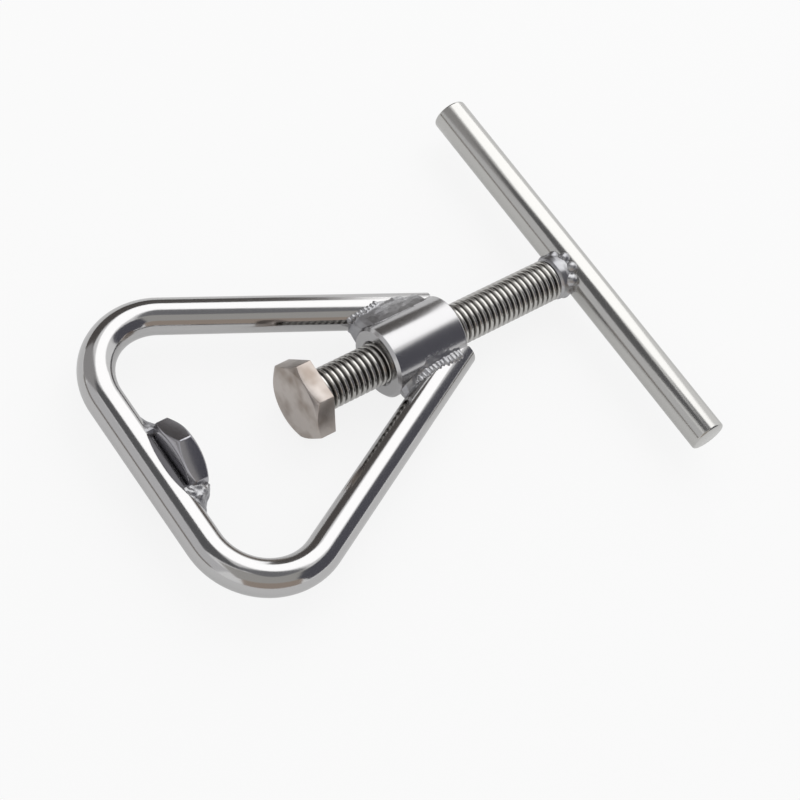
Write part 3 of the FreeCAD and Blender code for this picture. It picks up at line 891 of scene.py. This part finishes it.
class PRESS_OT_welds(bpy.types.Operator):
    """Make the welds at the sleeve and at the fixed jaw"""
    bl_idname = "press.welds"
    bl_label = "Welds"

    def execute(self, context):
        sizes = context.scene.press_sizes
        material = weld_steel(context.scene.press_finish)
        for side, name, fill, bead, width, sleeve_lumps, jaw_rows, jaw_lumps in WELDS:
            shells = [filler(side, fill)]
            for face, first in ((1, 0), (-1, HIDDEN_BEAD_START)):
                path = [at(x, side * y, face * z) for x, y, z in bead[first:]]
                shells.append(ripples("bead", path, (BEAD_LENGTH, width, BEAD_HEIGHT),
                                      material, sizes))
            mesh = uneven(skinned(joined(shells), SLEEVE_WELD_VOXEL, 2), sleeve_lumps,
                          SLEEVE_WELD_LUMP_SIZE)
            mesh.materials.clear()
            mesh.materials.append(material)
            weld = shown("sleeve_weld_%s_rippled" % name, cleaned(mesh, sharp=180.0))
            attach(weld, "frame")
            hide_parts("sleeve_weld_" + name)

            mesh = uneven(skinned(jaw_fillet(side, jaw_rows), JAW_WELD_VOXEL, 3), jaw_lumps,
                          JAW_WELD_LUMP_SIZE)
            mesh.materials.clear()
            mesh.materials.append(material)
            weld = shown("jaw_weld_%s_fillet" % name, cleaned(mesh, sharp=180.0))
            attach(weld, "frame")
            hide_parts("jaw_weld_" + name)
        return {"FINISHED"}


# Floor: half its width, its drop under the press, its grey, and the share of white that the
# camera and the metal see on it
FLOOR_HALF, FLOOR_DROP, FLOOR_GREY = 2.0, 0.1 * MM, 0.8
CAMERA_WHITE, METAL_WHITE = 0.84, 0.4
# Soft lamp: azimuth, elevation, width and height in degrees, seen from the press, and level
SOFTBOX = (36.0, 46.0, 47.0, 61.0, 0.9)
SOFTBOX_DISTANCE = 1.1
# Grey cards that only reflections see: name, azimuth, elevation, width and height in degrees,
# distance, colour
FLAGS = (
    ("flag_overhead", 145.0, 66.0, 34.0, 38.0, 1.0, (0.15, 0.15, 0.155)),
    ("flag_zenith", -75.0, 78.0, 26.0, 26.0, 1.0, (0.24, 0.24, 0.25)),
    ("flag_right_front", -50.0, 32.0, 54.0, 52.0, 1.0, (0.12, 0.12, 0.14)),
    ("flag_front", -110.0, 52.0, 66.0, 44.0, 1.0, (0.5, 0.49, 0.47)),
    ("flag_front_low", -110.0, 15.0, 56.0, 32.0, 0.98, (0.44, 0.37, 0.32)),
    ("flag_back_low", 80.0, 18.0, 58.0, 44.0, 0.98, (0.12, 0.11, 0.105)),
    ("flag_left", 168.0, 24.0, 60.0, 44.0, 1.0, (0.72, 0.72, 0.73)),
    ("flag_left_low", 160.0, 4.0, 60.0, 9.0, 0.98, (0.3, 0.28, 0.26)),
    ("flag_back", 118.0, 32.0, 34.0, 56.0, 1.0, (0.42, 0.41, 0.41)),
)


def half_width(degrees, distance):
    """Half of a width that spans an angle at a distance."""
    return distance * math.tan(math.radians(degrees / 2))


def rectangle(x, y):
    """Corners of a flat rectangle about the origin, from half its sides."""
    return [(-x, -y, 0), (x, -y, 0), (x, y, 0), (-x, y, 0)]


def facing(azimuth, elevation, distance):
    """Place at a direction from the press, turned to face it."""
    a, e = math.radians(azimuth), math.radians(elevation)
    out = Vector((math.cos(a) * math.cos(e), math.sin(a) * math.cos(e), math.sin(e)))
    return Matrix.Translation(out * distance) @ out.to_track_quat("Z", "Y").to_matrix().to_4x4()


def white_for_rays(graph, behind, camera_share, metal_share):
    """Mixes white into a shader for camera rays and, less of it, for glossy and clear ones."""
    rays = graph.node("ShaderNodeLightPath")
    metal = rays.other("Is Glossy Ray").most(rays.other("Is Transmission Ray"))
    seen = (rays.other("Is Camera Ray") * camera_share).most(metal * metal_share)
    white = graph.node("ShaderNodeEmission", None, {"Color": (1, 1, 1, 1), "Strength": 1.0})
    return graph.node("ShaderNodeMixShader", None, {0: seen, 1: behind, 2: white})


class PRESS_OT_stage(bpy.types.Operator):
    """Set up the floor, the soft light and the camera"""
    bl_idname = "press.stage"
    bl_label = "Stage"

    def execute(self, context):
        stage = context.scene.press_stage
        scene = context.scene
        mesh = bpy.data.meshes.new("floor")
        mesh.from_pydata(rectangle(FLOOR_HALF, FLOOR_HALF), [], [(0, 1, 2, 3)])
        material = bpy.data.materials.new("white floor")
        material.use_nodes = True
        tree = material.node_tree
        tree.nodes.clear()
        graph = Graph(tree)
        matt = graph.node("ShaderNodeBsdfDiffuse", None, {
            "Color": (FLOOR_GREY, FLOOR_GREY, FLOOR_GREY, 1)})
        surface = white_for_rays(graph, matt, CAMERA_WHITE, METAL_WHITE)
        output = tree.nodes.new("ShaderNodeOutputMaterial")
        tree.links.new(surface.socket, output.inputs["Surface"])
        mesh.materials.append(material)
        floor = shown("floor", mesh)
        floor.location.z = -FLOOR_DROP

        world = bpy.data.worlds.new("room")
        world.use_nodes = True
        tree = world.node_tree
        tree.nodes.clear()
        graph = Graph(tree)
        rays = graph.node("ShaderNodeLightPath")
        seen = rays.other("Is Camera Ray").most(rays.other("Is Glossy Ray"))
        seen = seen.most(rays.other("Is Transmission Ray"))
        strength = stage.world_strength + seen * (1.0 - stage.world_strength)
        room = graph.node("ShaderNodeBackground", None, {
            "Color": (1, 1, 1, 1), "Strength": strength})
        output = tree.nodes.new("ShaderNodeOutputWorld")
        tree.links.new(room.socket, output.inputs["Surface"])
        scene.world = world

        azimuth, elevation, wide, high, level = SOFTBOX
        lamp = bpy.data.lights.new("softbox", "AREA")
        lamp.shape = "RECTANGLE"
        lamp.size = 2 * half_width(wide, SOFTBOX_DISTANCE)
        lamp.size_y = 2 * half_width(high, SOFTBOX_DISTANCE)
        lamp.energy = level * stage.lamp_strength * math.pi * lamp.size * lamp.size_y
        softbox = bpy.data.objects.new("softbox", lamp)
        softbox.matrix_world = facing(azimuth, elevation, SOFTBOX_DISTANCE)
        scene.collection.objects.link(softbox)
        for name, azimuth, elevation, wide, high, distance, colour in FLAGS:
            mesh = bpy.data.meshes.new(name)
            mesh.from_pydata(rectangle(half_width(wide, distance), half_width(high, distance)),
                             [], [(0, 1, 2, 3)])
            material = bpy.data.materials.new(name)
            material.use_nodes = True
            tree = material.node_tree
            tree.nodes.clear()
            card = Graph(tree).node("ShaderNodeEmission", None, {
                "Color": (*colour, 1.0), "Strength": 1.0})
            output = tree.nodes.new("ShaderNodeOutputMaterial")
            tree.links.new(card.socket, output.inputs["Surface"])
            mesh.materials.append(material)
            flag = shown(name, mesh)
            flag.matrix_world = facing(azimuth, elevation, distance)
            flag.visible_camera = False
            flag.visible_diffuse = False
            flag.visible_shadow = False
            flag.visible_transmission = False

        camera = bpy.data.cameras.new("camera")
        camera.lens = stage.camera_lens
        camera.sensor_width = 36.0
        camera.clip_start = 0.01
        eye = bpy.data.objects.new("camera", camera)
        eye.location = stage.camera_place
        eye.rotation_euler = Euler(stage.camera_turn, "XYZ")
        scene.collection.objects.link(eye)
        scene.camera = eye
        scene.view_settings.view_transform = "Standard"
        return {"FINISHED"}


class PRESS_PT_panel(bpy.types.Panel):
    """Sizes, finishes and the buttons that build each group of pieces"""
    bl_label = "Screw press"
    bl_idname = "PRESS_PT_panel"
    bl_space_type = "VIEW_3D"
    bl_region_type = "UI"
    bl_category = "Screw press"

    def draw(self, context):
        for group in (context.scene.press_sizes, context.scene.press_finish,
                      context.scene.press_stage):
            box = self.layout.box()
            for name in group.__annotations__:
                box.prop(group, name)
        for operator in OPERATORS:
            self.layout.operator(operator.bl_idname)


GROUPS = (PressSizes, PressFinish, PressStage)
OPERATORS = (PRESS_OT_frame_rod, PRESS_OT_sleeve, PRESS_OT_fixed_jaw, PRESS_OT_bolt,
             PRESS_OT_cross_bar, PRESS_OT_welds, PRESS_OT_stage)


def register():
    for cls in (*GROUPS, *OPERATORS, PRESS_PT_panel):
        bpy.utils.register_class(cls)
    bpy.types.Scene.press_sizes = PointerProperty(type=PressSizes)
    bpy.types.Scene.press_finish = PointerProperty(type=PressFinish)
    bpy.types.Scene.press_stage = PointerProperty(type=PressStage)


def unregister():
    del bpy.types.Scene.press_stage
    del bpy.types.Scene.press_finish
    del bpy.types.Scene.press_sizes
    for cls in reversed((*GROUPS, *OPERATORS, PRESS_PT_panel)):
        bpy.utils.unregister_class(cls)


def main():
    register()
    bpy.ops.press.frame_rod()
    bpy.ops.press.sleeve()
    bpy.ops.press.fixed_jaw()
    bpy.ops.press.bolt()
    bpy.ops.press.cross_bar()
    bpy.ops.press.welds()
    bpy.ops.press.stage()


if __name__ == "__main__":
    main()
